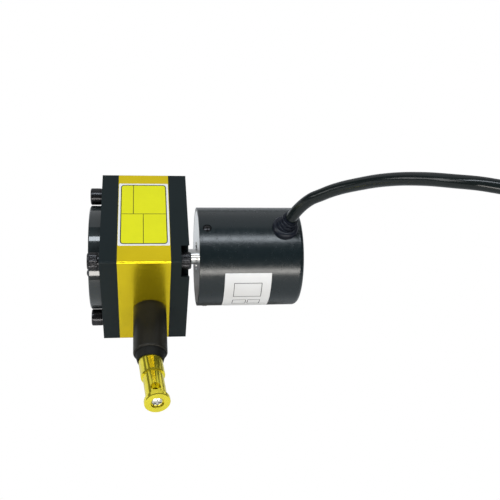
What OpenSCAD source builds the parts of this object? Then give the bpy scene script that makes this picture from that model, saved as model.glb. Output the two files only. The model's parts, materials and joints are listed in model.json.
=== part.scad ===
// Draw wire encoder: a spring-loaded wire drum in a square body, read by a rotary encoder.
// X runs along the drum shaft, from the spring side to the encoder, the wire leaves towards -Y,
// and Z = 0 is the underside. Lengths are in millimetres.

/* [Body] */
// Side of the square body and its two plates
body_side = 60; // [58:1:72]
// Width of the middle body along the shaft
body_w = 25; // [24:0.5:34]
// Radius of the body's long edges
edge_r = 0.8; // [0.4:0.1:2]
// Radius of the drum chamber through the body
chamber_r = 25; // [24:0.5:26]
// Distance of each cover screw from the shaft, along Y and along Z
screw_off = 22; // [21:0.5:23]
// Radius of the base mounting holes
base_hole_r = 2; // [1.5:0.25:2.5]
// Distance between the two base mounting holes
base_pitch = 30; // [26:1:36]
// Depth of the base mounting holes
base_hole_depth = 8; // [6:0.5:9]

/* [Cover screws] */
// Radius of the cap screw shanks
screw_r = 2.5; // [2:0.25:3]
// Radius of the cap screw heads
head_r = 4.25; // [3.5:0.25:5]
// Height of the cap screw heads
head_h = 5; // [4:0.25:6]

/* [Spring side] */
// Thickness of the spring side plate
spring_plate_t = 8.2; // [7.5:0.1:10]
// Height of the round spring case beyond its plate
spring_case_h = 6; // [5.5:0.25:9]
// Outer radius of the round spring case
spring_case_r = 26.5; // [25:0.1:26.6]
// Wall of the spring case
spring_wall = 4; // [3.6:0.1:4.6]
// Thickness of the washers under the spring side's cap screws
washer_t = 1; // [0.8:0.1:1.4]
// Thickness of the spring lid
lid_t = 1.4; // [1:0.1:2]
// Thickness of the spring strip
strip_t = 0.35; // [0.25:0.05:0.45]
// Turns of the power spring
spring_turns = 9; // [6:1:11]

/* [Encoder side] */
// Thickness of the encoder side plate
plate_t = 9; // [8:0.25:12]
// Depth of the corner pockets in the encoder side plate
pocket_d = 4; // [3:0.25:5]
// Width of the corner pockets
pocket_w = 15; // [12:0.5:17]
// Distance between the plate and the encoder cover
encoder_gap = 5.7; // [4:0.1:8]
// Outer radius of the encoder cover
encoder_r = 25.7; // [24.5:0.1:30]
// Length of the encoder cover
encoder_len = 52.6; // [50:0.5:64]
// Wall of the encoder cover
cover_wall = 1.8; // [1.4:0.1:2.4]
// Radius of the rounded end of the encoder cover
cover_edge_r = 2.6; // [1:0.1:4]
// Radius of the pillars that carry the encoder
pillar_r = 1.5; // [1.3:0.1:1.8]
// Distance of the pillars from the shaft
pillar_off = 21.8; // [20.5:0.1:21.9]
// Thickness of the encoder flange inside the cover
flange_t = 6; // [5:0.25:7]

/* [Drum] */
// Radius from the shaft to the centre of the wound wire
pitch_r = 15.92; // [14:0.02:17]
// Radius of the measuring wire
wire_r = 0.4; // [0.3:0.05:0.45]
// Distance between two turns of wire
wire_pitch = 1.1; // [0.95:0.05:1.1]
// Turns of wire on the drum
wire_turns = 10; // [6:1:10]
// Radius of the drum's rims
rim_r = 20.5; // [19:0.25:22]
// Width of the drum
drum_w = 17; // [16.5:0.25:17.5]
// Radius of the drum shaft
shaft_r = 4; // [3.5:0.25:5]
// Running clearance between moving pieces
run_gap = 0.4; // [0.3:0.05:0.5]

/* [Wire outlet] */
// Place of the wire outlet along the shaft
outlet_x = 2.8; // [-2:0.1:4]
// Height of the wire outlet above the underside
outlet_z = 24; // [22:0.25:30]
// Outer radius of the rubber nozzle
nozzle_r = 8.2; // [7.5:0.1:9]
// Length of the nozzle's straight part
nozzle_len = 26.6; // [24:0.25:32]
// Length of the nozzle's bevelled end
nozzle_bevel = 4; // [3:0.25:5]
// Radius of the wire guide's stem
guide_r = 5; // [4.5:0.1:5.5]
// Length of the wire guide inside the nozzle
guide_len = 14; // [10:0.5:15]

/* [End fitting] */
// Radius of the fitting's rear part
fit_rear_r = 5.66; // [5.2:0.02:5.8]
// Length of the fitting's rear part
fit_rear_len = 10.7; // [9.5:0.1:14]
// Radius of the fitting's front part
fit_front_r = 4.8; // [4.4:0.1:5.2]
// Length of the fitting's front part
fit_front_len = 14.8; // [14:0.2:20]
// Radius of the fitting's end flange
fit_flange_r = 5.9; // [5.5:0.1:7]
// Thickness of the fitting's end flange
fit_flange_t = 2; // [1.8:0.1:3]
// Radius of the cross hole for the customer's pin
eye_r = 2.25; // [1.75:0.05:2.75]
// Distance of the cross hole from the flange's front
eye_back = 6.2; // [5.8:0.1:7]
// Upward tilt of the fitting at rest, in degrees
fit_tilt = 14; // [0:1:15]
// Sideways turn of the fitting at rest, in degrees
fit_turn = 6; // [0:1:8]

/* [Cable] */
// Radius of the cable
cable_r = 3; // [2.5:0.1:3.5]
// Place of the cable gland, from the encoder cover's closed end
gland_back = 9.2; // [8.5:0.1:12]
// Angle of the gland round the shaft, from -Y up to +Z, in degrees
gland_angle = 82; // [75:1:105]
// Radius of the gland's foot
gland_r = 6.6; // [6:0.1:7]
// Height of the gland's foot above the cover
gland_foot_h = 2.6; // [2:0.1:4]
// Height of the gland's neck above its foot
gland_neck_h = 6; // [4:0.5:9]
// Lean of the gland's neck towards the encoder's closed end, in degrees
neck_lean = 16; // [0:1:20]

/* [Hidden] */
$fn = 64;

e = 0.01;
thread_gap = 0.1;
grub_r = 1.25;
axis_z = body_side / 2;
x_left = -body_w / 2;
x_right = body_w / 2;
x_plate_left = x_left - spring_plate_t;
x_case_end = x_plate_left - spring_case_h;
x_plate_right = x_right + plate_t;
x_cover = x_plate_right + encoder_gap;
x_cover_end = x_cover + encoder_len;
corners = [for (y = [-1, 1], z = [-1, 1]) [y, z]];

// Bearings of the drum shaft
race_w = 5;
race_t = 1.3;
race_out_r = shaft_r + 4;
race_in_r = shaft_r + race_t;
ball_r = 1.1;
ball_count = 9;
ball_path_r = (race_in_r + race_out_r - race_t) / 2;
x_bearing_left = x_left - 1 - race_w;
x_bearing_right = x_right + 1;

// Drum: turns, side walls, and the hub with its grub screws
side_t = 2;
hub_r = 8;
x_hub_end = x_right - 0.3;
x_grub = (drum_w / 2 + x_hub_end) / 2;
drum_hole_r = 2.9;
drum_hole_count = 6;
lead_turn = round((wire_turns - 1) / 2 + outlet_x / wire_pitch);
function turn_x(i) = outlet_x + (i - lead_turn) * wire_pitch;

// Spring chamber
chamber_depth = spring_case_h + 1;
chamber_wall_r = spring_case_r - spring_wall;
x_spring = x_case_end + lid_t + 0.5;
spring_h = chamber_depth - lid_t - 1;
case_edge = 0.5;
lid_r = spring_case_r - 1.2;
lid_screw_off = (chamber_wall_r + lid_r) / 2;
lid_screw_r = 1;
lid_screw_len = 3;
arbor_r = 6.5;
spring_in_r = arbor_r + strip_t / 2 + 0.3;
spring_out_r = chamber_wall_r - strip_t / 2 - 0.3;

// Shaft ends
x_shaft_left = x_case_end + lid_t + 0.6;
x_shaft_right = x_cover + flange_t + 13;

// Wire outlet
y_front = -body_side / 2;
y_mouth = y_front - nozzle_len - nozzle_bevel;
mouth_r = fit_rear_r + 0.3;
seat_depth = fit_rear_r + 0.3;
y_guide_end = y_front - guide_len;
wire_hole_r = wire_r + 0.1;
guide_hole_r = wire_r + 0.35;
guide_flare_r = 3.2;
wiper_len = 3;
nozzle_hole_r = wire_r + 0.8;
// The wire leaves the drum on the tangent that ends at the guide's throat
throat = [y_front - 1, outlet_z];
throat_dist = norm([throat[0], throat[1] - axis_z]);
wire_slope = asin(pitch_r / throat_dist) + atan2(throat[1] - axis_z, -throat[0]);
tangent_len = sqrt(throat_dist * throat_dist - pitch_r * pitch_r);
// Length of the tangent at which the wire lies clear of the turns beside it
lead_clear = sqrt(pow(pitch_r + 2 * wire_r + 0.1, 2) - pow(pitch_r, 2));
joint_gap = 0.15;

// End fitting
fit_len = fit_rear_len + fit_front_len + fit_flange_t;
pin_bore_r = 1.5;
ferrule_s = fit_rear_len - 2.7;
ferrule_len = 4.2;
tail_flare_r = 2.5;
end_head_r = 2.9;
end_head_h = 1.2;

// Encoder insides
flange_in_r = encoder_r - cover_wall;
x_flange_end = x_cover + flange_t;
rotor_r = shaft_r + 1.2;
enc_race_w = 3;
enc_race_in_r = rotor_r + 0.9;
enc_race_out_r = rotor_r + 2.8;
enc_ball_r = 0.8;
enc_lip = 0.9;
enc_ball_count = 8;
enc_path_r = (enc_race_in_r + enc_race_out_r - enc_lip) / 2;
flange_hub_len = 4.5;
x_flange_hub = x_flange_end + flange_hub_len;
enc_seats = [x_cover + 0.8, x_flange_hub - enc_race_w - 0.6];
pillar_angles = [50, 226];
pillar_screw_r = 0.9;
stud_len = 3;
cover_screw_angles = [82, 202, 322];
cover_screw_r = 1.2;
x_cover_screw = x_cover + flange_t / 2 + 1;
disc_r = 16;
disc_t = 1;
disc_off = 8;
x_disc = x_flange_end + disc_off;
x_rotor_grub = x_disc + 2.8;
board_off = 9;
x_board = x_disc + board_off;
board_t = 1.6;
board_r = 22.5;
post_off = 19.6;
post_r = 1.6;
post_angles = [0, 120, 240];
post_screw_r = 1;
// Chips and the socket on the board, each by its corner and its size, then the capacitor
chips = [[[-4, -5], [8, 8, 1.2]], [[6, -3], [3, 5, 1]], [[-13, 6], [5, 3, 2]], [[-2, 8], [10, 4, 5]]];
capacitor_at = [-10, -8];
capacitor_r = 2.4;
capacitor_h = 5;

// Gland, measured outwards from the shaft
gland_plug_r = 4.4;
gland_nut_h = 2.6;
foot_edge_r = 1.8;
neck_ribs = 3;
neck_root = 1.6;
x_gland = x_cover_end - gland_back;
foot_top = encoder_r + gland_foot_h;
function from_shaft(x, r, a) = [x, -r * cos(a), axis_z + r * sin(a)];
neck_start = from_shaft(x_gland, foot_top, gland_angle);
neck_end = from_shaft(x_gland + gland_neck_h * sin(neck_lean), foot_top + gland_neck_h * cos(neck_lean),
    gland_angle);

// Cable route from the gland's neck to the coil
cable_path = [neck_end, [75, -5.5, 71], [79.5, -7, 79], [83, -8.5, 83], [88.5, -11, 89], [97.5, -17, 98.5],
    [106, -25, 108.5], [116, -34, 117.5], [126.5, -44, 125.5], [138, -51, 130], [153, -55, 129],
    [168, -58, 122], [180, -60, 109], [189, -62, 91], [196, -65, 70], [201, -68, 48], [206, -71, 27],
    [212, -73, 12], [220, -74.5, 4.6], [228, -75, 3.2], [236, -75, 3.2]];
coil_mid_r = 32;
coil_half = 2 * cable_r;
coil_centre = [240, -75 + coil_mid_r + cable_r];
cable_steps = 2;
tail_x = coil_centre[0] + coil_mid_r + cable_r;
tail = [[tail_x, coil_centre[1], 3 * cable_r], [tail_x, coil_centre[1] + 34, cable_r + 0.2]];
tail_slope = atan2(tail[0][2] - tail[1][2], tail[1][1] - tail[0][1]);
core_len = 9;

module along_x(x) translate([x, 0, axis_z]) rotate([0, 90, 0]) children();
module x_cyl(x0, x1, r) along_x(x0) cylinder(h = x1 - x0, r = r);
module x_tube(x0, x1, r_out, r_in) difference() {
    x_cyl(x0, x1, r_out);
    x_cyl(x0 - 1, x1 + 1, r_in);
}
// Points +Z outwards from the shaft; the angle goes from -Y up to +Z
module radial(x, a) translate([x, 0, axis_z]) rotate([90 - a, 0, 0]) children();
module at_corner(c, x) translate([x, c[0] * screw_off, axis_z + c[1] * screw_off])
    rotate([0, 90, 0]) children();
module y_cyl(y0, y1, r0, r1) translate([outlet_x, y0, outlet_z]) rotate([90, 0, 0])
    cylinder(h = y0 - y1, r1 = r0, r2 = r1);

// Square outline with rounded corners, centred
module rounded_square(side, r) union() {
    square([side, side - 2 * r], center = true);
    square([side - 2 * r, side], center = true);
    for (x = [-1, 1], y = [-1, 1]) translate([x, y] * (side / 2 - r)) circle(r = r, $fn = 32);
}
module slab(x0, x1) along_x(x0) linear_extrude(height = x1 - x0) rounded_square(body_side, edge_r);

// Socket head cap screw along +Z, with the underside of its head at z = 0 and its shank below
module cap_screw(shank, r, hr, hh) difference() {
    union() {
        translate([0, 0, -shank]) cylinder(h = shank + e, r = r);
        rotate_extrude() polygon([[0, 0], [hr, 0], [hr, hh - 0.5], [hr - 0.5, hh], [0, hh]]);
    }
    translate([0, 0, hh * 0.45]) cylinder(h = hh, r = r * 0.95, $fn = 6);
}

// Cross-recessed pan screw along +Z, laid out like the cap screw
module pan_screw(shank, r, hr, hh) difference() {
    union() {
        translate([0, 0, -shank]) cylinder(h = shank + e, r = r);
        rotate_extrude() intersection() {
            translate([0, hh - hr * 1.6]) circle(r = hr * 1.6);
            square([hr, hh]);
        }
    }
    for (a = [0, 90]) rotate(a) translate([0, 0, hh]) cube([hr * 1.2, hr * 0.28, hh * 1.1], center = true);
}

// Grub screw along +Z from its point at z = 0
module grub_screw(len, r) difference() {
    cylinder(h = len, r = r);
    translate([0, 0, len * 0.6]) cylinder(h = len, r = r * 0.5, $fn = 6);
}

// One ring of a ball bearing: an outer or an inner race with its ball groove
module race(x, w, r_far, r_near, path_r, br) along_x(x) rotate_extrude() difference() {
    translate([min(r_far, r_near), 0]) square([abs(r_far - r_near), w]);
    translate([path_r, w / 2]) circle(r = br + 0.05);
}
module balls(x, w, path_r, br, count) along_x(x + w / 2)
    for (i = [0:count - 1]) rotate(i * 360 / count) translate([path_r, 0, 0]) sphere(r = br, $fn = 24);

module body_frame() color([0.88, 0.80, 0.12]) difference() {
    slab(x_left, x_right);
    x_cyl(x_left - 1, x_right + 1, chamber_r);
    y_cyl(0, y_front - 1, guide_r, guide_r);
    for (c = corners) at_corner(c, x_left - 1) cylinder(h = body_w + 2, r = screw_r + thread_gap);
    for (y = [-1, 1]) translate([0, y * base_pitch / 2, -e])
        cylinder(h = base_hole_depth + e, r = base_hole_r);
}

module spring_case() color([0.15, 0.19, 0.21]) difference() {
    union() {
        slab(x_plate_left, x_left);
        along_x(x_case_end) rotate_extrude() polygon([[0, 0], [spring_case_r - case_edge, 0],
            [spring_case_r, case_edge], [spring_case_r, spring_case_h + e], [0, spring_case_h + e]]);
    }
    x_cyl(x_case_end - 1, x_case_end + lid_t, lid_r);
    x_cyl(x_case_end, x_case_end + chamber_depth, chamber_wall_r);
    x_cyl(x_case_end, x_left + 1, race_out_r - 1);
    x_cyl(x_bearing_left, x_left + 1, race_out_r);
    for (c = corners) at_corner(c, x_plate_left - 1)
        cylinder(h = spring_plate_t + 2, r = screw_r + thread_gap);
    at_lid_screws() translate([0, 0, -lid_screw_len - 0.3])
        cylinder(h = lid_screw_len + 1, r = lid_screw_r + thread_gap);
}

// The three lid screws, +Z out of the spring case
module at_lid_screws() for (a = [0:120:240]) along_x(x_case_end) rotate(a) translate([lid_screw_off, 0, 0])
    mirror([0, 0, 1]) children();

module spring_lid() color([0.20, 0.23, 0.25]) difference() {
    x_cyl(x_case_end, x_case_end + lid_t, lid_r - 0.05);
    at_lid_screws() translate([0, 0, -lid_t - 1]) cylinder(h = lid_t + 2, r = lid_screw_r + thread_gap);
}

module lid_screws() color([0.45, 0.46, 0.48])
    at_lid_screws() pan_screw(lid_screw_len, lid_screw_r, 1.7, 0.8);

// Outline of the wound strip: out along its inner face, back along its outer face
spiral_n = spring_turns * 18;
function spiral(i, side) = let (t = i / spiral_n, a = t * spring_turns * 360,
    r = spring_in_r + (spring_out_r - spring_in_r) * t + side * strip_t / 2) [r * cos(a), r * sin(a)];
module power_spring() color([0.42, 0.45, 0.50]) along_x(x_spring) linear_extrude(height = spring_h)
    polygon(concat([for (i = [0:spiral_n]) spiral(i, -1)], [for (i = [spiral_n:-1:0]) spiral(i, 1)]));

module spring_arbor() color([0.60, 0.61, 0.62]) difference() {
    x_cyl(x_spring, x_spring + spring_h, arbor_r);
    x_cyl(x_spring - 1, x_spring + spring_h + 1, shaft_r);
}

module spring_case_screws() color([0.25, 0.26, 0.27])
    for (c = corners) at_corner(c, x_plate_left - washer_t) mirror([0, 0, 1])
        cap_screw(washer_t + spring_plate_t + body_w / 2 - 1, screw_r, head_r, head_h);

module spring_case_washers() color([0.22, 0.22, 0.23])
    for (c = corners) at_corner(c, x_plate_left - washer_t) difference() {
        cylinder(h = washer_t, r = head_r - 0.1);
        translate([0, 0, -1]) cylinder(h = washer_t + 2, r = screw_r + thread_gap);
    }

module corner_pocket() translate([screw_off * sqrt(2) - head_r - 0.5, -pocket_w / 2, 0])
    cube([body_side, pocket_w, pocket_d + 1]);

module encoder_plate() color([0.15, 0.19, 0.21]) difference() {
    slab(x_right, x_plate_right);
    for (a = [45, 225]) radial(x_plate_right - pocket_d, a) rotate([0, 90, 0]) mirror([1, 0, 0])
        corner_pocket();
    x_cyl(x_right - 1, x_bearing_right + race_w, race_out_r);
    x_cyl(x_right, x_plate_right + 1, race_out_r - 1);
    for (c = corners) at_corner(c, x_right - 1) cylinder(h = plate_t + 2, r = screw_r + thread_gap);
    for (c = corners) if (c[0] == c[1]) at_corner(c, x_plate_right - head_h)
        cylinder(h = head_h + 1, r = head_r + 0.3);
    at_pillars(x_plate_right - stud_len - 0.3) cylinder(h = stud_len + 1, r = pillar_screw_r + thread_gap);
}

module encoder_plate_screws() color([0.25, 0.26, 0.27])
    for (c = corners) at_corner(c, x_plate_right - (c[0] == c[1] ? head_h : pocket_d))
        cap_screw(plate_t - (c[0] == c[1] ? head_h : pocket_d) + body_w / 2 - 1, screw_r, head_r, head_h);

module drum() color([0.75, 0.76, 0.78]) difference() {
    rotate_half() polygon([[0, -drum_w / 2], [rim_r, -drum_w / 2], [rim_r, 0.4 - drum_w / 2 + side_t / 2],
        [pitch_r + 0.6, side_t - drum_w / 2], [pitch_r, side_t - drum_w / 2], [pitch_r, drum_w / 2 - side_t],
        [pitch_r + 0.6, drum_w / 2 - side_t], [rim_r, drum_w / 2 - side_t / 2 - 0.4], [rim_r, drum_w / 2],
        [hub_r, drum_w / 2], [hub_r, x_hub_end], [0, x_hub_end]]);
    rotate_half() for (i = [0:wire_turns - 1]) translate([pitch_r, turn_x(i)])
        circle(r = wire_r + 0.02, $fn = 16);
    x_cyl(-drum_w, drum_w, shaft_r);
    for (i = [1:drum_hole_count]) radial(0, (i - 0.5) * 360 / drum_hole_count)
        translate([0, 0, (hub_r + pitch_r) / 2]) rotate([0, 90, 0])
            cylinder(h = 2 * drum_w, r = drum_hole_r, center = true);
    for (a = [0, 90]) radial(x_grub, a) cylinder(h = hub_r + 1, r = grub_r + thread_gap);
}
// Turns a profile of [radius, X] points round the shaft
module rotate_half() along_x(0) rotate_extrude() children();

module drum_set_screws() color([0.22, 0.22, 0.24])
    for (a = [0, 90]) radial(x_grub, a) translate([0, 0, shaft_r])
        grub_screw(hub_r - shaft_r - 0.2, grub_r);

module wire_winding() color([0.72, 0.73, 0.74])
    rotate_half() for (i = [0:wire_turns - 1]) translate([pitch_r, turn_x(i)]) circle(r = wire_r, $fn = 16);

module drum_shaft() color([0.78, 0.79, 0.80]) along_x(x_shaft_left) rotate_extrude() polygon([[0, 0],
    [shaft_r - 0.5, 0], [shaft_r, 0.5], [shaft_r, x_shaft_right - x_shaft_left - 0.5],
    [shaft_r - 0.5, x_shaft_right - x_shaft_left], [0, x_shaft_right - x_shaft_left]]);

module bearing_outer_left() color([0.80, 0.80, 0.82])
    race(x_bearing_left, race_w, race_out_r, race_out_r - race_t, ball_path_r, ball_r);
module bearing_inner_left() color([0.80, 0.80, 0.82])
    race(x_bearing_left, race_w, race_in_r, shaft_r, ball_path_r, ball_r);
module bearing_balls_left() color([0.85, 0.85, 0.87])
    balls(x_bearing_left, race_w, ball_path_r, ball_r, ball_count);
module bearing_outer_right() color([0.80, 0.80, 0.82])
    race(x_bearing_right, race_w, race_out_r, race_out_r - race_t, ball_path_r, ball_r);
module bearing_inner_right() color([0.80, 0.80, 0.82])
    race(x_bearing_right, race_w, race_in_r, shaft_r, ball_path_r, ball_r);
module bearing_balls_right() color([0.85, 0.85, 0.87])
    balls(x_bearing_right, race_w, ball_path_r, ball_r, ball_count);

// The nozzle's mouth is the seat of the fitting's round tail
module nozzle() color([0.13, 0.14, 0.14]) difference() {
    union() {
        y_cyl(y_front, y_front - nozzle_len, nozzle_r, nozzle_r);
        y_cyl(y_front - nozzle_len, y_mouth, nozzle_r, mouth_r + 0.35);
    }
    y_cyl(y_front + 1, y_guide_end, guide_r, guide_r);
    y_cyl(y_front, y_guide_end - wiper_len, guide_r - 0.6, guide_r - 0.6);
    y_cyl(y_front, y_mouth - 1, nozzle_hole_r, nozzle_hole_r);
    y_cyl(y_mouth + seat_depth, y_mouth - 1, mouth_r, mouth_r);
}

module wire_guide() color([0.62, 0.63, 0.64]) difference() {
    y_cyl(y_front + 4, y_guide_end, guide_r, guide_r);
    y_cyl(y_front + 6, y_guide_end - 1, guide_hole_r, guide_hole_r);
    y_cyl(y_front + 4 + e, throat[0], guide_flare_r, guide_hole_r);
}

module dust_wiper() color([0.55, 0.53, 0.48]) difference() {
    y_cyl(y_guide_end, y_guide_end - wiper_len, guide_r - 0.6, guide_r - 0.6);
    y_cyl(y_guide_end + 1, y_guide_end - wiper_len - 1, wire_hole_r, wire_hole_r);
}

module wire_lead() color([0.72, 0.73, 0.74]) {
    y_cyl(throat[0], y_mouth + joint_gap, wire_r, wire_r);
    translate([outlet_x, throat[0], throat[1]]) sphere(r = wire_r, $fn = 24);
    translate([outlet_x, throat[0], throat[1]]) rotate([-90 - wire_slope, 0, 0])
        cylinder(h = tangent_len - lead_clear, r = wire_r);
}

// The fitting is drawn along +Z from the centre of its round tail, then tilted into the mouth
module at_mouth() translate([outlet_x, y_mouth, outlet_z]) rotate([0, 0, fit_turn])
    rotate([90 - fit_tilt, 0, 0]) children();

module end_fitting() color([0.86, 0.74, 0.30]) at_mouth() difference() {
    rotate_extrude() union() {
        intersection() {
            circle(r = fit_rear_r);
            translate([0, -fit_rear_r]) square(fit_rear_r);
        }
        polygon([[0, 0], [fit_rear_r, 0], [fit_rear_r, fit_rear_len - 0.4], [fit_rear_r - 0.4, fit_rear_len],
            [fit_front_r, fit_rear_len], [fit_front_r, fit_rear_len + fit_front_len],
            [fit_flange_r, fit_rear_len + fit_front_len], [fit_flange_r, fit_len - 0.3],
            [fit_flange_r - 0.3, fit_len], [0, fit_len]]);
    }
    cylinder(h = ferrule_s + 1, r = wire_hole_r);
    translate([0, 0, -fit_rear_r - e])
        cylinder(h = fit_rear_r + 2 * e, r1 = tail_flare_r, r2 = wire_hole_r);
    translate([0, 0, ferrule_s]) cylinder(h = fit_len, r = pin_bore_r);
    translate([0, 0, fit_len - end_head_h]) cylinder(h = end_head_h + 1, r = end_head_r + 0.2);
    translate([0, 0, fit_len - eye_back]) rotate([90, 0, 0])
        cylinder(h = 4 * fit_front_r, r = eye_r, center = true);
}

module wire_ferrule() color([0.70, 0.70, 0.68]) at_mouth() {
    translate([0, 0, ferrule_s]) cylinder(h = ferrule_len, r = pin_bore_r - 0.02);
    translate([0, 0, joint_gap]) cylinder(h = ferrule_s, r = wire_r);
}

module end_screw() color([0.72, 0.72, 0.70]) at_mouth() translate([0, 0, fit_len - end_head_h])
    pan_screw(eye_back - eye_r - end_head_h - 0.3, pin_bore_r - 0.02, end_head_r, end_head_h);

// The encoder stands on two pillars between the plate and its flange
module at_pillars(x) for (a = pillar_angles) radial(x, a) translate([0, 0, pillar_off])
    rotate([0, 90, 0]) children();

module flange_pillars() color([0.78, 0.79, 0.80]) at_pillars(x_plate_right) difference() {
    union() {
        cylinder(h = encoder_gap, r = pillar_r);
        translate([0, 0, -stud_len]) cylinder(h = stud_len + e, r = pillar_screw_r);
    }
    translate([0, 0, encoder_gap - stud_len - 0.3]) cylinder(h = stud_len + 1, r = pillar_screw_r + 0.05);
}

module encoder_flange() color([0.80, 0.81, 0.82]) difference() {
    union() {
        x_cyl(x_cover, x_flange_end, flange_in_r - 0.02);
        x_cyl(x_flange_end - e, x_flange_hub, enc_race_out_r + 1.6);
    }
    x_cyl(x_cover - 1, x_flange_hub + 1, enc_race_out_r - 0.8);
    x_cyl(x_cover - 1, enc_seats[0] + enc_race_w, enc_race_out_r);
    x_cyl(enc_seats[1], x_flange_hub + 1, enc_race_out_r);
    at_pillars(x_cover - 1) cylinder(h = flange_t + 2, r = pillar_screw_r + thread_gap);
    at_pillars(x_flange_end - 2) cylinder(h = 3, r = 2);
    for (a = cover_screw_angles) radial(x_cover_screw, a) translate([0, 0, flange_in_r - 5])
        cylinder(h = 6, r = cover_screw_r + thread_gap);
    at_posts(x_flange_end - stud_len - 0.3) cylinder(h = stud_len + 1, r = post_screw_r + thread_gap);
}

module flange_screws() color([0.70, 0.70, 0.72]) at_pillars(x_flange_end - 2)
    pan_screw(flange_t - 2 + stud_len, pillar_screw_r, 1.75, 1.4);

module encoder_cover() color([0.19, 0.22, 0.23]) difference() {
    along_x(x_cover) rotate_extrude() union() {
        square([encoder_r - cover_edge_r, encoder_len]);
        square([encoder_r, encoder_len - cover_edge_r]);
        translate([encoder_r - cover_edge_r, encoder_len - cover_edge_r])
            circle(r = cover_edge_r, $fn = 48);
    }
    x_cyl(x_cover - 1, x_cover_end - cover_wall - 0.7, flange_in_r);
    for (a = cover_screw_angles) radial(x_cover_screw, a) {
        translate([0, 0, flange_in_r - 2]) cylinder(h = 6, r = cover_screw_r + thread_gap);
        translate([0, 0, encoder_r - 0.7]) cylinder(h = 2, r = 2.2);
    }
    radial(x_gland, gland_angle) cylinder(h = encoder_r + 1, r = gland_plug_r);
}

module cover_screws() color([0.30, 0.31, 0.32])
    for (a = cover_screw_angles) radial(x_cover_screw, a) translate([0, 0, encoder_r - 0.7])
        pan_screw(cover_wall + 3, cover_screw_r, 2.05, 1);

module encoder_bearing_outer() color([0.80, 0.80, 0.82]) for (x = enc_seats)
    race(x, enc_race_w, enc_race_out_r, enc_race_out_r - enc_lip, enc_path_r, enc_ball_r);
module encoder_bearing_inner() color([0.80, 0.80, 0.82]) for (x = enc_seats)
    race(x, enc_race_w, enc_race_in_r, rotor_r, enc_path_r, enc_ball_r);
module encoder_bearing_balls() color([0.85, 0.85, 0.87]) for (x = enc_seats)
    balls(x, enc_race_w, enc_path_r, enc_ball_r, enc_ball_count);

module encoder_rotor() color([0.70, 0.71, 0.73]) difference() {
    union() {
        x_cyl(enc_seats[0], x_shaft_right, rotor_r);
        x_cyl(x_disc - 2, x_disc, rotor_r + 4);
    }
    x_cyl(x_plate_right, x_shaft_right + 1, shaft_r);
    radial(x_rotor_grub, 0) cylinder(h = rotor_r + 1, r = 1 + thread_gap);
}

module rotor_set_screws() color([0.22, 0.22, 0.24]) radial(x_rotor_grub, 0) translate([0, 0, shaft_r])
    grub_screw(1.6, 1);

module code_disc() color([0.65, 0.75, 0.78, 0.6]) x_tube(x_disc, x_disc + disc_t, disc_r, rotor_r);

// Read head: a fork round the rim of the code disc, on its foot on the flange
module read_head() color([0.10, 0.10, 0.12]) difference() {
    translate([x_flange_end, -disc_r - 6, axis_z - 5]) cube([x_disc - x_flange_end + 5, 11, 10]);
    translate([x_disc - run_gap, -disc_r - 1, axis_z - 6]) cube([disc_t + 2 * run_gap, 7, 12]);
}

module at_posts(x) for (a = post_angles) along_x(x) rotate(a) translate([post_off, 0, 0]) children();

module board_posts() color([0.75, 0.70, 0.45]) at_posts(x_flange_end) difference() {
    union() {
        cylinder(h = x_board - x_flange_end, r = post_r);
        translate([0, 0, -stud_len]) cylinder(h = stud_len + e, r = post_screw_r);
    }
    translate([0, 0, x_board - x_flange_end - stud_len - 0.3])
        cylinder(h = stud_len + 1, r = post_screw_r + 0.05);
}

module sensor_board() color([0.05, 0.30, 0.16]) difference() {
    x_cyl(x_board, x_board + board_t, board_r);
    at_posts(x_board - 1) cylinder(h = board_t + 2, r = post_screw_r + thread_gap);
}

module board_parts() color([0.12, 0.12, 0.13]) along_x(x_board + board_t) {
    for (chip = chips) translate(chip[0]) cube(chip[1]);
    translate(capacitor_at) cylinder(h = capacitor_h, r = capacitor_r);
}

module board_screws() color([0.70, 0.70, 0.72]) at_posts(x_board + board_t)
    pan_screw(board_t + stud_len, post_screw_r, 1.9, 1.2);

// Moulded gland: a saddle foot on the round cover, a plug through the wall, and a ribbed neck
module cable_gland() color([0.11, 0.12, 0.13]) {
    difference() {
        radial(x_gland, gland_angle) gland_foot();
        x_tube(x_cover, x_cover_end - cover_edge_r, encoder_r, flange_in_r);
    }
    radial(x_gland, gland_angle) {
        translate([0, 0, flange_in_r - 1]) cylinder(h = cover_wall + 2, r = gland_plug_r - 0.05);
        translate([0, 0, foot_top]) rotate([0, neck_lean, 0]) gland_neck();
    }
}
module gland_foot() {
    translate([0, 0, flange_in_r - gland_nut_h]) cylinder(h = gland_nut_h, r = gland_r - 0.8);
    rotate_extrude() {
        translate([0, flange_in_r - e]) {
            square([gland_r - foot_edge_r, foot_top - flange_in_r + e]);
            square([gland_r, foot_top - foot_edge_r - flange_in_r + e]);
        }
        translate([gland_r - foot_edge_r, foot_top - foot_edge_r]) circle(r = foot_edge_r, $fn = 32);
    }
}
module gland_neck() let (pitch = gland_neck_h / neck_ribs) rotate_extrude() polygon(concat(
    [[0, -neck_root], [gland_r - 1.9, -neck_root]],
    [for (i = [0:neck_ribs - 1]) let (r = gland_r - 1.9 - i * 0.35, y = i * pitch)
        each [[r, y + 0.35 * pitch], [r - 0.6, y + 0.45 * pitch], [r - 0.6, y + 0.9 * pitch],
            [r - 0.3, y + pitch]]],
    [[0, gland_neck_h]]));

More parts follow.
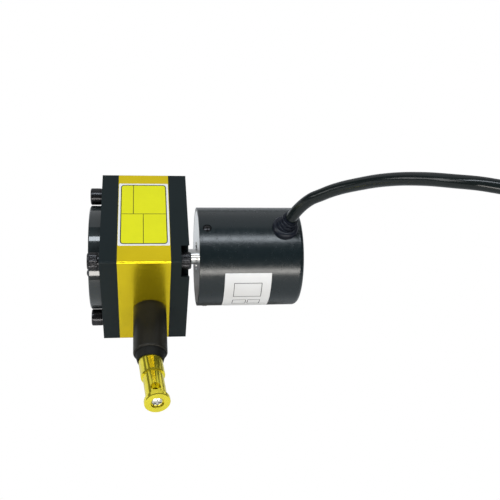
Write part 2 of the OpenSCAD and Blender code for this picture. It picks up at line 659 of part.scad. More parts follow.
// Smooth route through the cable's points, and rings of points square to it
function spline(p, i, t) = let (n = len(p) - 1, a = p[max(i - 1, 0)], b = p[i], c = p[min(i + 1, n)],
    d = p[min(i + 2, n)]) 0.5 * (2 * b + (c - a) * t + (2 * a - 5 * b + 4 * c - d) * t * t
    + (3 * b - a - 3 * c + d) * t * t * t);
function unit(v) = v / norm(v);
cable_line = [for (i = [0:len(cable_path) - 2], k = [0:cable_steps - 1])
    spline(cable_path, i, k / cable_steps), cable_path[len(cable_path) - 1]];
function heading(i) = i == 0 ? unit(neck_end - neck_start)
    : unit(cable_line[min(i + 1, len(cable_line) - 1)] - cable_line[i - 1]);
function ring(i, r, sides) = let (d = heading(i), s = unit(cross(d, [0, 1, 0])), u = cross(s, d))
    [for (k = [0:sides - 1]) cable_line[i] + r * (cos(k * 360 / sides) * s + sin(k * 360 / sides) * u)];
module tube(r, sides) let (n = len(cable_line)) polyhedron(
    points = [for (i = [0:n - 1]) each ring(i, r, sides)],
    faces = concat([[for (k = [0:sides - 1]) k]],
        [for (i = [0:n - 2], k = [0:sides - 1]) let (a = i * sides + k, b = i * sides + (k + 1) % sides)
            each [[a, a + sides, b], [b, a + sides, b + sides]]],
        [[for (k = [sides - 1:-1:0]) (n - 1) * sides + k]]), convexity = 6);

module cable_run() color([0.16, 0.18, 0.19]) tube(cable_r, 10);

module cable_coil() color([0.16, 0.18, 0.19]) translate(coil_centre) rotate_extrude()
    translate([coil_mid_r, coil_half]) {
        square([2 * coil_half, 2 * (coil_half - cable_r)], center = true);
        square([2 * (coil_half - cable_r), 2 * coil_half], center = true);
        for (x = [-1, 1], y = [-1, 1]) translate([x, y] * (coil_half - cable_r))
            circle(r = cable_r, $fn = 32);
    }

// The cable's free end comes down off the coil and shows its cores
module cable_end() color([0.16, 0.18, 0.19]) difference() {
    translate(tail[0]) rotate([-90 - tail_slope, 0, 0]) {
        cylinder(h = norm(tail[1] - tail[0]), r = cable_r);
        for (a = [0:60:300]) rotate(a) translate([cable_r * 0.55, 0, norm(tail[1] - tail[0]) - e])
            cylinder(h = core_len, r = cable_r * 0.22);
    }
    translate([coil_centre[0], coil_centre[1], -1]) cylinder(h = 3 * coil_half, r = coil_mid_r + coil_half);
}

body_frame();
spring_case();
spring_lid();
lid_screws();
power_spring();
spring_arbor();
spring_case_screws();
spring_case_washers();
encoder_plate();
encoder_plate_screws();
drum();
drum_set_screws();
wire_winding();
drum_shaft();
bearing_outer_left();
bearing_inner_left();
bearing_balls_left();
bearing_outer_right();
bearing_inner_right();
bearing_balls_right();
nozzle();
wire_guide();
dust_wiper();
wire_lead();
end_fitting();
wire_ferrule();
end_screw();
encoder_flange();
flange_pillars();
flange_screws();
encoder_cover();
cover_screws();
encoder_bearing_outer();
encoder_bearing_inner();
encoder_bearing_balls();
encoder_rotor();
rotor_set_screws();
code_disc();
read_head();
board_posts();
sensor_board();
board_parts();
board_screws();
cable_gland();
cable_run();
cable_coil();
cable_end();
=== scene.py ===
"""Draw wire encoder: camera, light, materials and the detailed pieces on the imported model."""
import json
import math

import bpy
import numpy as np
from mathutils import Matrix, Vector


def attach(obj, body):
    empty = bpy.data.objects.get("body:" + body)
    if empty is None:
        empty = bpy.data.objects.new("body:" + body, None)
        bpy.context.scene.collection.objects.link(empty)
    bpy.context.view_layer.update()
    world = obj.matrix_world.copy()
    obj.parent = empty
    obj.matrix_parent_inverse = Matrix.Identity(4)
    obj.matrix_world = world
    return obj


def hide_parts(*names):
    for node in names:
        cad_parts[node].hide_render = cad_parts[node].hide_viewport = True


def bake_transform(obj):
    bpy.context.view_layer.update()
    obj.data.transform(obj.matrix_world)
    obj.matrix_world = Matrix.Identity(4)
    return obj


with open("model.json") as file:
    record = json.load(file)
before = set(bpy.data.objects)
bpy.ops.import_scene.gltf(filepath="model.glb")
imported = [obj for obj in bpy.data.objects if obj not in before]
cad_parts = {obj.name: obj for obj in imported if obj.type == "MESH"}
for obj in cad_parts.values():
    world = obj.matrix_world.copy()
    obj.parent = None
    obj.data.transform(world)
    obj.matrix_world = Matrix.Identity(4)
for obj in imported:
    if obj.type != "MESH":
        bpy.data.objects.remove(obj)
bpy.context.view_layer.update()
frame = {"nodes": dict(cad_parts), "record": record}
MM = 0.001
SCENE = bpy.context.scene

# Places of the model, in millimetres
BODY_SIDE = 60.0
AXIS_Z = 30.0
SCREW_OFF = 22.0
X_PLATE_LEFT = -20.7
X_PLATE_RIGHT = 21.5
WASHER_T = 1.0
ENCODER_R = 25.7
OUTLET = (2.8, -30.0, 24.0)
NOZZLE_R = 8.2
NOZZLE_LEN = 26.6
NOZZLE_BEVEL = 4.0
MOUTH_R = 5.96
WIRE_R = 0.4
DRUM_SIDE = (2.8, -10.39, 16.77)
THROAT = (2.8, -31.0, 24.0)
WIRE_END = (2.8, -60.45, 24.0)
X_GLAND = 70.6
GLAND_ANGLE = math.radians(82.0)
NECK_LEAN = math.radians(16.0)
FOOT_TOP = 28.3
NECK_H = 6.0
CORNERS = [(y, z) for y in (-1, 1) for z in (-1, 1)]


def from_shaft(x, r, angle):
    """A point at a distance from the shaft; the angle goes from -Y up to +Z."""
    return (x, -r * math.cos(angle), AXIS_Z + r * math.sin(angle))


NECK_END = from_shaft(X_GLAND + NECK_H * math.sin(NECK_LEAN),
                      FOOT_TOP + NECK_H * math.cos(NECK_LEAN), GLAND_ANGLE)
X_DIR, Y_DIR, Z_DIR = np.eye(3)


# ---------------------------------------------------------------- camera
YAW, TILT, ROLL = math.radians(11.93), math.radians(47.44), math.radians(8.55)
CAMERA_AT = (-0.13, -261.5, 326.0)
SENSOR_MM, FOCAL_WIDTHS = 36.0, 753.1 / 500.0


def set_camera():
    """The camera's fitted place and turn, with its focal length in widths of the picture."""
    yaw, tilt, roll = YAW, TILT, ROLL
    forward = Vector((math.sin(yaw) * math.cos(tilt), math.cos(yaw) * math.cos(tilt), -math.sin(tilt)))
    level = Vector((math.cos(yaw), -math.sin(yaw), 0.0))
    above = level.cross(forward)
    right = level * math.cos(roll) + above * math.sin(roll)
    up = above * math.cos(roll) - level * math.sin(roll)
    data = bpy.data.cameras.new("camera")
    data.sensor_width = SENSOR_MM
    data.lens = SENSOR_MM * FOCAL_WIDTHS
    data.clip_start = 0.01
    camera = bpy.data.objects.new("camera", data)
    m = Matrix((right, up, -forward)).transposed().to_4x4()
    m.translation = Vector(CAMERA_AT) * MM
    camera.matrix_world = m
    SCENE.collection.objects.link(camera)
    SCENE.camera = camera


set_camera()


# ---------------------------------------------------------------- materials
class Val:
    """A number in a node tree."""

    def __init__(self, tree, socket):
        self.tree, self.socket = tree, socket

    def ramp(self, low, high, a=0.0, b=1.0):
        """a at low, b at high, with straight lines between and flat outside."""
        node = self.tree.nodes.new("ShaderNodeMapRange")
        node.inputs["From Min"].default_value = low
        node.inputs["From Max"].default_value = high
        node.inputs["To Min"].default_value = a
        node.inputs["To Max"].default_value = b
        self.tree.links.new(self.socket, node.inputs["Value"])
        return Val(self.tree, node.outputs["Result"])


class Paint:
    """One procedural material on a Principled shader."""

    def __init__(self, name, color, rough=0.5, metal=0.0, **fixed):
        self.mat = bpy.data.materials.new(name)
        self.mat.use_nodes = True
        self.tree = self.mat.node_tree
        self.shader = self.tree.nodes["Principled BSDF"]
        self.place = None
        self.set("Base Color", (*color, 1.0))
        self.set("Roughness", rough)
        self.set("Metallic", metal)
        for key, value in fixed.items():
            self.set(key.replace("_", " "), value)

    def set(self, key, value):
        self.shader.inputs[key].default_value = value

    def link(self, key, value):
        self.tree.links.new(value.socket if isinstance(value, Val) else value, self.shader.inputs[key])

    def coords(self):
        if self.place is None:
            self.place = self.tree.nodes.new("ShaderNodeTexCoord").outputs["Object"]
        return self.place

    def axis(self, i):
        node = self.tree.nodes.new("ShaderNodeSeparateXYZ")
        self.tree.links.new(self.coords(), node.inputs[0])
        return Val(self.tree, node.outputs[i])

    def noise(self, scale, detail=3.0):
        node = self.tree.nodes.new("ShaderNodeTexNoise")
        node.inputs["Scale"].default_value = scale
        node.inputs["Detail"].default_value = detail
        node.inputs["Roughness"].default_value = 0.55
        self.tree.links.new(self.coords(), node.inputs["Vector"])
        return Val(self.tree, node.outputs["Fac"])

    def mix(self, factor, a, b):
        node = self.tree.nodes.new("ShaderNodeMix")
        node.data_type = "RGBA"
        self.tree.links.new(factor.socket, node.inputs["Factor"])
        for slot, value in ((node.inputs[6], a), (node.inputs[7], b)):
            if isinstance(value, tuple):
                slot.default_value = (*value, 1.0)
            else:
                self.tree.links.new(value, slot)
        return node.outputs[2]

    def bump(self, height, distance, strength=1.0):
        node = self.tree.nodes.new("ShaderNodeBump")
        node.inputs["Distance"].default_value = distance
        node.inputs["Strength"].default_value = strength
        self.tree.links.new(height.socket, node.inputs["Height"])
        self.link("Normal", node.outputs[0])
        return self


def shade(color, k):
    """A colour k times as bright, kept within white."""
    return tuple(min(1.0, c * k) for c in color)


def anodised(name, color, rough, metal, grain=0.5, spread=0.05, **fixed):
    """Fine blasted and dyed aluminium: speckled gloss, a faint cloud in the colour."""
    p = Paint(name, color, rough, metal, **fixed)
    cloud = p.noise(55.0, 4.0)
    dark, light = shade(color, 1.0 - spread), shade(color, 1.0 + spread)
    p.link("Base Color", p.mix(cloud.ramp(0.3, 0.7), dark, light))
    p.link("Roughness", p.noise(400.0, 2.0).ramp(0.3, 0.7, rough - 0.03, rough + 0.03))
    return p.bump(p.noise(900.0, 2.0), 0.000004, grain).mat


def turned(name, color, rough, metal=1.0, spread=0.08, marks=0.000003, **fixed):
    """Bright machined metal with fine tool marks and slight stains."""
    p = Paint(name, color, rough, metal, **fixed)
    stain = p.noise(240.0, 4.0)
    clean, stained = shade(color, 1.0 + spread), shade(color, 1.0 - 1.6 * spread)
    p.link("Base Color", p.mix(stain.ramp(0.35, 0.7), clean, stained))
    p.link("Roughness", p.noise(900.0, 3.0).ramp(0.3, 0.7, rough * 0.85, rough * 1.2))
    return p.bump(p.noise(1200.0, 3.0), marks, 0.5).mat


def moulded(name, color, rough, grain=0.000008, spread=0.12, **fixed):
    """Moulded rubber or plastic with a fine eroded skin."""
    p = Paint(name, color, rough, **fixed)
    cloud = p.noise(130.0, 4.0)
    dark, light = shade(color, 1.0 - spread), shade(color, 1.0 + spread)
    p.link("Base Color", p.mix(cloud.ramp(0.35, 0.65), dark, light))
    p.link("Roughness", p.noise(500.0, 3.0).ramp(0.3, 0.7, rough - 0.04, rough + 0.04))
    return p.bump(p.noise(900.0, 3.0), grain, 0.5).mat


BLACK_DYE = (0.007, 0.012, 0.013)


def spring_side():
    """Black anodised plate, with the round case beyond it turned to a gloss."""
    p = Paint("black_turned", BLACK_DYE, 0.38, Specular_IOR_Level=0.12, Coat_Roughness=0.07,
              Coat_IOR=1.57)
    case = p.axis(0).ramp((X_PLATE_LEFT - 0.3) * MM, (X_PLATE_LEFT - 0.1) * MM, 1.0, 0.0)
    p.link("Coat Weight", case)
    p.link("Roughness", p.noise(400.0, 2.0).ramp(0.3, 0.7, 0.35, 0.41))
    cloud = p.noise(55.0, 4.0).ramp(0.3, 0.7)
    p.link("Base Color", p.mix(cloud, (0.0066, 0.0114, 0.0124), (0.0074, 0.0126, 0.0136)))
    return p.bump(p.noise(900.0, 2.0), 0.000004, 0.2).mat


YELLOW = anodised("yellow_anodised", (0.80, 0.62, 0.012), 0.20, 0.85, 0.3)
BLACK = anodised("black_anodised", BLACK_DYE, 0.38, 0.0, Specular_IOR_Level=0.12)
CASE = spring_side()
COVER = anodised("black_cover", (0.005, 0.010, 0.012), 0.25, 0.0, 0.2, Specular_IOR_Level=0.46)
DARK_STEEL = turned("blackened_steel", (0.035, 0.035, 0.037), 0.26, 0.9, 0.15)
BRIGHT = turned("bright_steel", (0.72, 0.72, 0.71), 0.30)
ALU = turned("turned_aluminium", (0.93, 0.93, 0.92), 0.09, 1.0, 0.02)
BRASS = turned("brass", (0.90, 0.78, 0.06), 0.15, 0.9, 0.04, 0.0000004)
NICKEL = turned("plated_screw", (0.62, 0.61, 0.57), 0.24, 1.0, 0.08, 0.0000005)
# Darker copy of the black rubber for the nozzle's tapered end and mouth: its halved colour is painted shade;
# it is also rougher and less glossy.
RUBBER_END_SHADED = moulded("rubber_end_painted_shade", (0.006, 0.006, 0.005), 0.55, 0.000008, 0.12, Specular_IOR_Level=0.12)
RUBBER = moulded("black_rubber", (0.012, 0.011, 0.008), 0.33, Specular_IOR_Level=0.18)
GLAND = moulded("gland_rubber", (0.006, 0.008, 0.014), 0.34, Specular_IOR_Level=0.25)
JACKET = moulded("cable_jacket", (0.006, 0.009, 0.009), 0.17, 0.000004, 0.08, Specular_IOR_Level=0.3)
PLASTIC = moulded("black_plastic", (0.02, 0.02, 0.022), 0.45)
FELT = moulded("felt", (0.27, 0.25, 0.20), 0.95, 0.0003)
BOARD = moulded("board", (0.01, 0.09, 0.04), 0.35)
PAPER = moulded("label_white", (0.66, 0.66, 0.66), 0.42, 0.000003, 0.01)
LABEL_YELLOW = moulded("label_yellow", (0.62, 0.61, 0.006), 0.42, 0.000003, 0.02, Specular_IOR_Level=0.2)
LABEL_INK = moulded("label_ink", (0.008, 0.008, 0.008), 0.5, 0.000003, 0.1, Specular_IOR_Level=0.2)
GLASS = Paint("code_glass", (0.62, 0.72, 0.74), 0.08, 0.0, Transmission_Weight=0.6)
GLASS.link("Roughness", GLASS.noise(300.0).ramp(0.3, 0.7, 0.05, 0.12))

FINISH = {
    "yellow_anodised": YELLOW, "black_anodised": BLACK, "bare_aluminium": ALU, "dark_screws": DARK_STEEL,
    "bright_steel": BRIGHT, "brass": BRASS, "black_rubber": RUBBER, "cable_jacket": JACKET,
    "felt": FELT, "code_glass": GLASS.mat, "black_plastic": PLASTIC, "board": BOARD, "post_brass": BRASS}
OWN = {"encoder_cover": COVER, "cable_gland": GLAND, "end_screw": NICKEL, "spring_lid": BLACK,
       "spring_case": CASE}
for part in frame["record"]["subparts"]:
    node = frame["nodes"][part["node"]]
    node.data.materials.clear()
    node.data.materials.append(OWN.get(part["node"], FINISH[part["material_slot"]]))


# ---------------------------------------------------------------- mesh helpers
def smooth(obj, angle):
    """Smooth shading, with the edges that turn by more than the angle kept sharp."""
    for polygon in obj.data.polygons:
        polygon.use_smooth = True
    limit = math.cos(math.radians(angle))
    faces = {}
    for polygon in obj.data.polygons:
        for key in polygon.edge_keys:
            faces.setdefault(key, []).append(polygon.normal.copy())
    for edge in obj.data.edges:
        near = faces.get(edge.key, [])
        edge.use_edge_sharp = len(near) == 2 and near[0].dot(near[1]) < limit


def piece(name, verts, faces, mats, body, index=None, angle=35.0):
    """A mesh object from millimetre corners, riding on a body unless that is None."""
    mesh = bpy.data.meshes.new(name)
    corners = [tuple(v) for v in np.asarray(verts) * MM]
    mesh.from_pydata(corners, [], [tuple(int(i) for i in f) for f in faces])
    for mat in mats if isinstance(mats, (list, tuple)) else [mats]:
        mesh.materials.append(mat)
    if index is not None:
        mesh.polygons.foreach_set("material_index", index)
    mesh.update()
    obj = bpy.data.objects.new(name, mesh)
    SCENE.collection.objects.link(obj)
    smooth(obj, angle)
    if body:
        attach(obj, body)
    return obj


def grid_faces(rows, cols, wrap=False):
    """Quads between the points of neighbouring rows."""
    out = []
    for i in range(rows - 1):
        for j in range(cols if wrap else cols - 1):
            k = (j + 1) % cols
            a, b = i * cols, (i + 1) * cols
            out.append((a + j, a + k, b + k, b + j))
    return out


def turn(profile, count, wave=None):
    """A profile of (radius, height) turned round Z; wave(i, angles) scales the radius of ring i."""
    angles = np.linspace(0.0, 2.0 * np.pi, count, endpoint=False)
    rings = []
    for i, (r, z) in enumerate(profile):
        k = np.ones(count) if wave is None else wave(i, angles)
        rings.append(np.stack([r * k * np.cos(angles), r * k * np.sin(angles), np.full(count, z)], 1))
    verts = np.concatenate(rings)
    return verts, grid_faces(len(profile), count, True)


def place(verts, origin, x, y, z):
    """Points moved to an origin and turned to three directions."""
    return (np.asarray(origin) + np.outer(verts[:, 0], x) + np.outer(verts[:, 1], y)
            + np.outer(verts[:, 2], z))


def merge(parts):
    """Several (points, faces) as one."""
    verts, faces, base = [], [], 0
    for v, f in parts:
        verts.append(v)
        faces += [tuple(base + i for i in face) for face in f]
        base += len(v)
    return np.concatenate(verts), faces


# ---------------------------------------------------------------- cable
CABLE_R = 3.0
ROUTE = [NECK_END, (75, -5.5, 71), (79.5, -7, 79), (83, -8.5, 83), (88.5, -11, 89), (97.5, -17, 98.5),
         (106, -25, 108.5), (116, -34, 117.5), (126.5, -44, 125.5), (138, -51, 130), (153, -55, 129),
         (168, -58, 122), (180, -60, 109), (189, -62, 91), (196, -65, 70), (201, -68, 48), (206, -71, 27),
         (212, -73, 12), (220, -74.5, 4.6), (228, -75, 3.2), (236, -75, 3.2)]
COIL = (240.0, -40.0)
COIL_MID_R, COIL_MID_Z = 32.0, 6.05
# Turns so far, distance from the coil's centre, height
LANES = [(0.0, 35.0, 3.1), (0.93, 35.0, 3.1), (1.07, 29.0, 3.1), (1.93, 29.0, 3.1), (2.07, 29.0, 9.0),
         (2.93, 29.0, 9.0), (3.07, 35.0, 9.0), (3.25, 35.0, 9.0)]
TURNS, STEPS = 3.25, 16
TAIL = [(275.0, -31.5, 9.0), (275.0, -23.5, 8.3), (275.0, -15.5, 5.6), (275.0, -9.5, 3.7), (275.0, -6.0, 3.2)]


def cable_points():
    """The route to the floor, the coil's turns and the free tail."""
    points = [tuple(map(float, p)) for p in ROUTE]
    turns, radii, heights = zip(*LANES)
    for i in range(1, int(TURNS * STEPS) + 1):
        t = i / STEPS
        r, z = np.interp(t, turns, radii), np.interp(t, turns, heights)
        a = math.radians(-90.0 + 360.0 * t)
        points.append((COIL[0] + r * math.cos(a), COIL[1] + r * math.sin(a), float(z)))
    return points + TAIL


def curve(name, points, radius, mat, body):
    """A round cord along one smooth curve."""
    data = bpy.data.curves.new(name, "CURVE")
    data.dimensions = "3D"
    data.bevel_depth = radius * MM
    data.bevel_resolution = 5
    data.resolution_u = 6
    data.use_fill_caps = True
    data.materials.append(mat)
    spline = data.splines.new("BEZIER")
    spline.bezier_points.add(len(points) - 1)
    for bp, p in zip(spline.bezier_points, points):
        bp.co = Vector(p) * MM
        bp.handle_left_type = bp.handle_right_type = "AUTO"
    obj = bpy.data.objects.new(name, data)
    SCENE.collection.objects.link(obj)
    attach(obj, body)
    return obj


cable = curve("cable", cable_points(), CABLE_R, JACKET, "housing")
bpy.context.view_layer.update()


def tie(angle):
    """A flat strap round the coil's section."""
    count, half_w, bevel = 32, 1.8, 0.5
    a = math.radians(angle)
    out, side = np.array([math.cos(a), math.sin(a), 0.0]), np.array([-math.sin(a), math.cos(a), 0.0])
    centre = np.array([*COIL, COIL_MID_Z]) + COIL_MID_R * out
    loop = []
    for k in range(count):
        t = 2.0 * math.pi * k / count
        c, s = math.cos(t), math.sin(t)
        loop.append((math.copysign(abs(c) ** 0.35, c), math.copysign(abs(s) ** 0.35, s)))
    loop = np.array(loop)
    inner, rim, outer, top = COIL_MID_Z, 6.5, 6.7, 6.6
    rings = []
    for half, w in ((inner, -half_w), (rim, -half_w), (outer, bevel - half_w),
                    (outer, half_w - bevel), (rim, half_w), (inner, half_w)):
        flat, tall = loop[:, 0] * half, loop[:, 1] * min(half, top)
        rings.append(centre + np.outer(flat, out) + np.outer(tall, Z_DIR) + w * side)
    verts = np.concatenate(rings)
    last = (len(rings) - 1) * count
    inside = [(last + j, last + (j + 1) % count, (j + 1) % count, j) for j in range(count)]
    verts[:, 2] = np.clip(verts[:, 2], 0.02, None)
    return piece("coil_tie", verts, grid_faces(len(rings), count, True) + inside, PLASTIC, "housing")


def cores():
    """Six coloured cores with stripped ends at the cable's free end."""
    start, aim = np.array(TAIL[-1]), np.array(TAIL[-1]) - np.array(TAIL[-2])
    aim = aim / np.linalg.norm(aim)
    up = np.cross(aim, X_DIR)
    count, ring_r, edge = len(CORES), 1.65, 0.15
    parts, index = [], []
    for i in range(count):
        t = 2.0 * math.pi * i / count
        off = ring_r * (math.cos(t) * X_DIR + math.sin(t) * up)
        for radius, s0, s1, mat in ((0.62, -0.5, 6.0, i), (0.3, 5.8, 8.6, count)):
            rings = [(0.0, s0), (radius * 0.8, s0), (radius, s0 + edge), (radius, s1 - edge),
                     (radius * 0.8, s1), (0.0, s1)]
            v, f = turn(rings, 12)
            parts.append((place(v, start + off, X_DIR, up, aim), f))
            index += [mat] * len(f)
    verts, faces = merge(parts)
    return piece("cable_cores", verts, faces, CORES + [BRASS], "housing", index)


CORES = [moulded("core_" + n, c, 0.4, 0.00001) for n, c in
         (("brown", (0.12, 0.05, 0.02)), ("white", (0.7, 0.7, 0.68)), ("blue", (0.03, 0.10, 0.40)),
          ("green", (0.03, 0.25, 0.06)), ("red", (0.45, 0.03, 0.02)), ("black", (0.02, 0.02, 0.02)))]
coil_tie = tie(-45.0)
cable_cores = cores()
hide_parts("cable_run", "cable_coil", "cable_end")


# ---------------------------------------------------------------- light and floor
WHITE = (1.0, 1.0, 1.0, 1.0)
FLOOR_HALF, FLOOR_Z = 3.0, -0.0004


def area(name, at, aim, size_x, size_y, power, color=(1.0, 1.0, 1.0)):
    """A rectangular lamp aimed at a point."""
    data = bpy.data.lights.new(name, "AREA")
    data.shape = "RECTANGLE"
    data.size, data.size_y = size_x, size_y
    data.energy, data.color = power, color
    lamp = bpy.data.objects.new(name, data)
    lamp.location = at
    lamp.rotation_euler = (Vector(aim) - Vector(at)).to_track_quat("-Z", "Y").to_euler()
    SCENE.collection.objects.link(lamp)


def world_light():
    """A dim room that the camera sees as white."""
    world = bpy.data.worlds.new("studio")
    SCENE.world = world
    world.use_nodes = True
    tree = world.node_tree
    back = tree.nodes["Background"]
    back.inputs["Strength"].default_value = 1.0
    path = tree.nodes.new("ShaderNodeLightPath")
    mix = tree.nodes.new("ShaderNodeMix")
    mix.data_type = "RGBA"
    mix.inputs[6].default_value = (0.08, 0.08, 0.085, 1.0)
    mix.inputs[7].default_value = WHITE
    tree.links.new(path.outputs["Is Camera Ray"], mix.inputs["Factor"])
    tree.links.new(mix.outputs[2], back.inputs["Color"])


def lamps():
    area("overhead", (0.05, -0.02, 0.80), (0.05, -0.02, 0.03), 1.3, 0.13, 6.2, (0.86, 0.93, 1.0))
    area("front", (0.05, -0.95, 0.26), (0.03, 0.0, 0.03), 1.1, 0.17, 7.7, (1.0, 0.97, 0.92))
    area("back_wall", (0.1, 1.0, 0.7), (0.05, 0.0, 0.1), 2.4, 1.4, 6.4, (0.96, 0.98, 1.0))
    area("left_fill", (-0.7, -0.1, 0.4), (0.02, 0.0, 0.03), 0.4, 0.4, 2.5)


def floor_material():
    """A light grey floor that the camera sees as white."""
    mat = bpy.data.materials.new("floor")
    mat.use_nodes = True
    tree = mat.node_tree
    shader = tree.nodes["Principled BSDF"]
    shader.inputs["Base Color"].default_value = (0.64, 0.64, 0.64, 1.0)
    shader.inputs["Roughness"].default_value = 0.8
    glow = tree.nodes.new("ShaderNodeEmission")
    glow.inputs["Color"].default_value = WHITE
    path = tree.nodes.new("ShaderNodeLightPath")
    blend = tree.nodes.new("ShaderNodeMixShader")
    tree.links.new(path.outputs["Is Camera Ray"], blend.inputs[0])
    tree.links.new(shader.outputs[0], blend.inputs[1])
    tree.links.new(glow.outputs[0], blend.inputs[2])
    tree.links.new(blend.outputs[0], tree.nodes["Material Output"].inputs["Surface"])
    return mat


def add_floor():
    mesh = bpy.data.meshes.new("floor")
    corners = [(x * FLOOR_HALF, y * FLOOR_HALF, FLOOR_Z) for x, y in ((-1, -1), (1, -1), (1, 1), (-1, 1))]
    mesh.from_pydata(corners, [], [(0, 1, 2, 3)])
    floor = bpy.data.objects.new("floor", mesh)
    SCENE.collection.objects.link(floor)
    floor.data.materials.append(floor_material())


def set_view():
    SCENE.view_settings.view_transform = "Standard"
    SCENE.view_settings.look = "None"
    SCENE.view_settings.exposure = 0.0
    SCENE.view_settings.gamma = 1.0


world_light()
lamps()
add_floor()
set_view()


# ---------------------------------------------------------------- screws
SHANK_R, HEAD_R, HEAD_H = 2.5, 4.25, 5.0
KNURL = 0.16
SPRING_SIDE_SHANK, ENCODER_SIDE_SHANK = 20.7, 20.5


def cap_screw(shank, shank_r, head_r, head_h, depth):
    """Socket head cap screw along +Z; the head is knurled to a depth, or plain where that is 0."""
    count, ridges = 216, 36
    knurl = [(head_r - depth - 0.15, 0.0), (head_r - depth, 0.15), (head_r, 0.45), (head_r, head_h - 1.0),
             (head_r - depth, head_h - 0.75)]
    profile = [(0.0, -shank), (shank_r - 0.4, -shank), (shank_r, 0.4 - shank), (shank_r, 0.0)] + knurl + [
        (head_r - depth - 0.1, head_h - 0.35), (head_r - depth - 0.45, head_h - 0.06),
        (head_r - depth - 0.65, head_h), (shank_r * 1.16, head_h), (shank_r * 1.08, head_h - 0.15)]
    hexagon = len(profile)
    profile += [(1.0, head_h - 0.4), (1.0, head_h * 0.5), (0.0, head_h * 0.42)]

    def wave(i, angles):
        if 6 <= i <= 7:
            return 1.0 - depth / head_r * np.abs(np.sin(angles * ridges / 2.0)) ** 1.5
        if hexagon <= i <= hexagon + 1:
            turn_in = np.mod(angles, math.pi / 3.0) - math.pi / 6.0
            return shank_r * 0.95 * math.cos(math.pi / 6.0) / np.cos(turn_in)
        return np.ones(len(angles))

    return turn(profile, count, wave)


def screw_set(name, node, x, aim, seats, shanks, knurls):
    """Four cap screws at the corners; aim is +1 for heads towards +X and -1 for -X."""
    parts = []
    for corner, seat, shank, depth in zip(CORNERS, seats, shanks, knurls):
        v, f = cap_screw(shank, SHANK_R, HEAD_R, HEAD_H, depth)
        origin = (x - aim * seat, corner[0] * SCREW_OFF, AXIS_Z + corner[1] * SCREW_OFF)
        parts.append((place(v, origin, Y_DIR, aim * Z_DIR, aim * X_DIR), f))
    verts, faces = merge(parts)
    obj = piece(name, verts, faces, DARK_STEEL, "housing", angle=28.0)
    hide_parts(node)


screw_set("spring_side_screws", "spring_case_screws", X_PLATE_LEFT - WASHER_T, -1, [0.0] * 4,
          [SPRING_SIDE_SHANK] * 4, [KNURL if corner == (-1, 1) else 0.0 for corner in CORNERS])
deep = [5.0 if y == z else 4.0 for y, z in CORNERS]
screw_set("encoder_side_screws", "encoder_plate_screws", X_PLATE_RIGHT, 1, deep,
          [ENCODER_SIDE_SHANK - d for d in deep], [KNURL] * 4)


# ---------------------------------------------------------------- labels
def rounded_loop(x0, x1, y0, y1, r, steps=6):
    """Corner points of a rounded rectangle, anticlockwise."""
    out = []
    for cx, cy, start in ((x1 - r, y1 - r, 0), (x0 + r, y1 - r, 90), (x0 + r, y0 + r, 180),
                          (x1 - r, y0 + r, 270)):
        for k in range(steps + 1):
            a = math.radians(start + 90.0 * k / steps)
            out.append((cx + r * math.cos(a), cy + r * math.sin(a)))
    return out


def plate_on(loop, low, high):
    """A flat plate between two heights, as points (u, v, height)."""
    n = len(loop)
    verts = np.array([(u, v, h) for h in (low, high) for u, v in loop])
    faces = [tuple(range(n, 2 * n)), tuple(range(n - 1, -1, -1))]
    return verts, faces + [(i, (i + 1) % n, n + (i + 1) % n, n + i) for i in range(n)]


def frame_on(outer, inner, low, high):
    """A flat frame between two loops with as many points."""
    n = len(outer)
    verts = np.array([(u, v, h) for loop in (outer, inner) for h in (low, high) for u, v in loop])
    faces = []
    for i in range(n):
        k = (i + 1) % n
        faces += [(n + i, n + k, 3 * n + k, 3 * n + i), (i, k, n + k, n + i),
                  (3 * n + i, 3 * n + k, 2 * n + k, 2 * n + i)]
    return verts, faces


def bar(u0, u1, v0, v1, low, high):
    """A flat rectangle between two heights."""
    return plate_on([(u0, v0), (u1, v0), (u1, v1), (u0, v1)], low, high)


def top_label():
    """Sticker on the body's top: white border, yellow field, thin framed boxes left empty."""
    x0, x1, y0, y1 = -12.3, 12.3, -19.4, 23.2
    inset, line = 1.0, 0.45
    low, ink, corner_r = 0.05, 0.14, 1.8
    f = (x0 + inset, x1 - inset, y0 + inset, y1 - inset)
    edge = rounded_loop(*f, corner_r)
    inner = rounded_loop(f[0] + line, f[1] - line, f[2] + line, f[3] - line, corner_r - line)
    parts = [plate_on(rounded_loop(x0, x1, y0, y1, 0.5), 0.0, 0.10),
             plate_on(edge, low, 0.12),
             frame_on(edge, inner, low, ink),
             bar(f[0], f[1], 1.45, 1.75, low, ink),
             bar(-5.2, -4.9, 1.6, f[3], low, ink),
             bar(-0.4, -0.1, f[2], 1.6, low, ink)]
    index = []
    for part, mat in zip(parts, (0, 1, 2, 2, 2, 2)):
        index += [mat] * len(part[1])
    verts, faces = merge(parts)
    return piece("top_label", verts + BODY_SIDE * Z_DIR, faces, [PAPER, LABEL_YELLOW, LABEL_INK],
                 "housing", index)


def curved_sheet(u0, u1, v0, v1, low, high, cells):
    """A thin sheet cut into cells along v, as one closed solid of points (u, v, height)."""
    edges = np.linspace(v0, v1, cells + 1)
    verts = np.array([(u, v, h) for v in edges for u, h in ((u0, low), (u1, low), (u1, high), (u0, high))])
    faces = grid_faces(cells + 1, 4, True)
    last = 4 * cells
    return verts, [f[::-1] for f in faces] + [(0, 1, 2, 3), (last + 3, last + 2, last + 1, last)]


def wrapped(parts_flat, x_mid, angle_mid, radius):
    """Bends flat points (u along X, v round the shaft, height) onto the encoder cover."""
    verts, faces = merge(parts_flat)
    a = angle_mid + verts[:, 1] / radius
    r = radius + verts[:, 2]
    return np.stack([x_mid + verts[:, 0], -r * np.cos(a), AXIS_Z + r * np.sin(a)], 1), faces


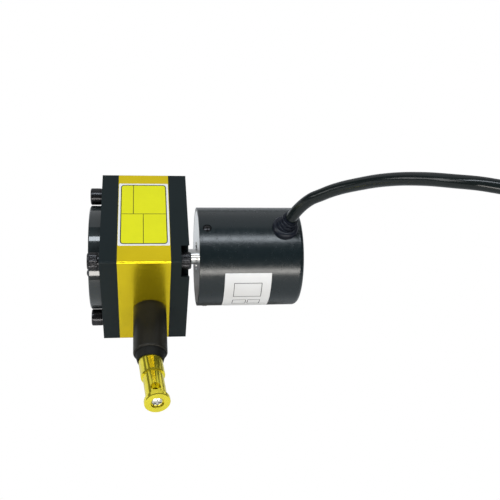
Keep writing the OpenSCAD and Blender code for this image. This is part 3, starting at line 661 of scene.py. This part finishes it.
def encoder_label():
    """White sticker on the encoder cover with plain empty boxes."""
    half_u, half_v, w = 11.75, 14.45, 0.28
    low, ink = 0.05, 0.13
    parts = [curved_sheet(-half_u, half_u, -half_v, half_v, 0.02, 0.10, 32)]
    for u0, u1, v0, v1 in ((-7.0, 7.2, -0.5, 9.0), (-7.0, 0.0, -8.5, -3.5), (0.8, 7.2, -8.5, -3.5)):
        for a0, a1, b0, b1, cells in ((u0, u1, v0, v0 + w, 1), (u0, u1, v1 - w, v1, 1),
                                      (u0, u0 + w, v0, v1, 10), (u1 - w, u1, v0, v1, 10)):
            parts.append(curved_sheet(a0, a1, b0, b1, low, ink, cells))
    index = [0] * len(parts[0][1]) + [1] * sum(len(p[1]) for p in parts[1:])
    verts, faces = wrapped(parts, 51.55, math.radians(-2.75), ENCODER_R)
    return piece("encoder_label", verts, faces, [PAPER, LABEL_INK], "housing", index)


top_label()
encoder_label()


# ---------------------------------------------------------------- nozzle and measuring wire
def arc(cx, cy, r, start, end, steps=6):
    """Points of a round stretch of a profile, as (radius, height)."""
    out = []
    for k in range(steps + 1):
        a = math.radians(start + (end - start) * k / steps)
        out.append((cx + r * math.cos(a), cy + r * math.sin(a)))
    return out


def nozzle():
    """Rubber wire outlet: a straight sleeve, a rounded lip, a tapered end and the round seat in its mouth,
    with painted shade as a darker rubber past the lip.
    """
    full = NOZZLE_LEN + NOZZLE_BEVEL
    lip, step, edge = 0.9, 0.05, 0.15
    bore_r, guide_r, guide_len = 1.2, 5.0, 17.0
    profile = [(guide_r, 0.0), (NOZZLE_R, 0.0), (NOZZLE_R, NOZZLE_LEN * 0.5)]
    profile += arc(NOZZLE_R - lip, NOZZLE_LEN - lip, lip, 0.0, 90.0)
    profile += [(NOZZLE_R - lip - step, NOZZLE_LEN - 0.05), (NOZZLE_R - lip - step, NOZZLE_LEN + edge)]
    profile += arc(MOUTH_R + edge, full - edge, edge, 20.0, 120.0)
    profile += [(MOUTH_R, full - 0.5), (MOUTH_R, full - MOUTH_R), (bore_r, full - MOUTH_R),
                (bore_r, guide_len), (guide_r, guide_len), (guide_r, 0.0)]
    verts, faces = turn(profile, 96)
    heights = [np.mean([verts[int(i)][2] for i in f]) for f in faces]
    # Faces past the lip take the darker end rubber, painted shade on the tapered end and mouth.
    index = [1 if h > NOZZLE_LEN - 0.04 else 0 for h in heights]
    obj = piece("wire_nozzle", place(verts, OUTLET, X_DIR, Z_DIR, -Y_DIR), faces, [RUBBER, RUBBER_END_SHADED],
                "housing", index, 40.0)
    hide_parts("nozzle")


def measuring_wire():
    """The wire from the drum to the fitting, with a straight stretch from the throat to the wire's end."""
    ring, rows = 12, 30
    centres = np.vstack([DRUM_SIDE, np.linspace(THROAT, WIRE_END, rows)])
    ahead = np.gradient(centres, axis=0)
    ahead /= np.linalg.norm(ahead, axis=1, keepdims=True)
    up = np.cross(ahead, X_DIR)[:, None, :]
    a = np.linspace(0.0, 2.0 * np.pi, ring, endpoint=False)[None, :, None]
    verts = (centres[:, None, :] + WIRE_R * (np.cos(a) * X_DIR + np.sin(a) * up)).reshape(-1, 3)
    last = rows * ring
    faces = grid_faces(rows + 1, ring, True)
    faces += [tuple(range(ring - 1, -1, -1)), tuple(range(last, last + ring))]
    obj = piece("measuring_wire", verts, faces, BRIGHT, None)
    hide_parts("wire_lead")
    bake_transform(obj)


nozzle()
measuring_wire()
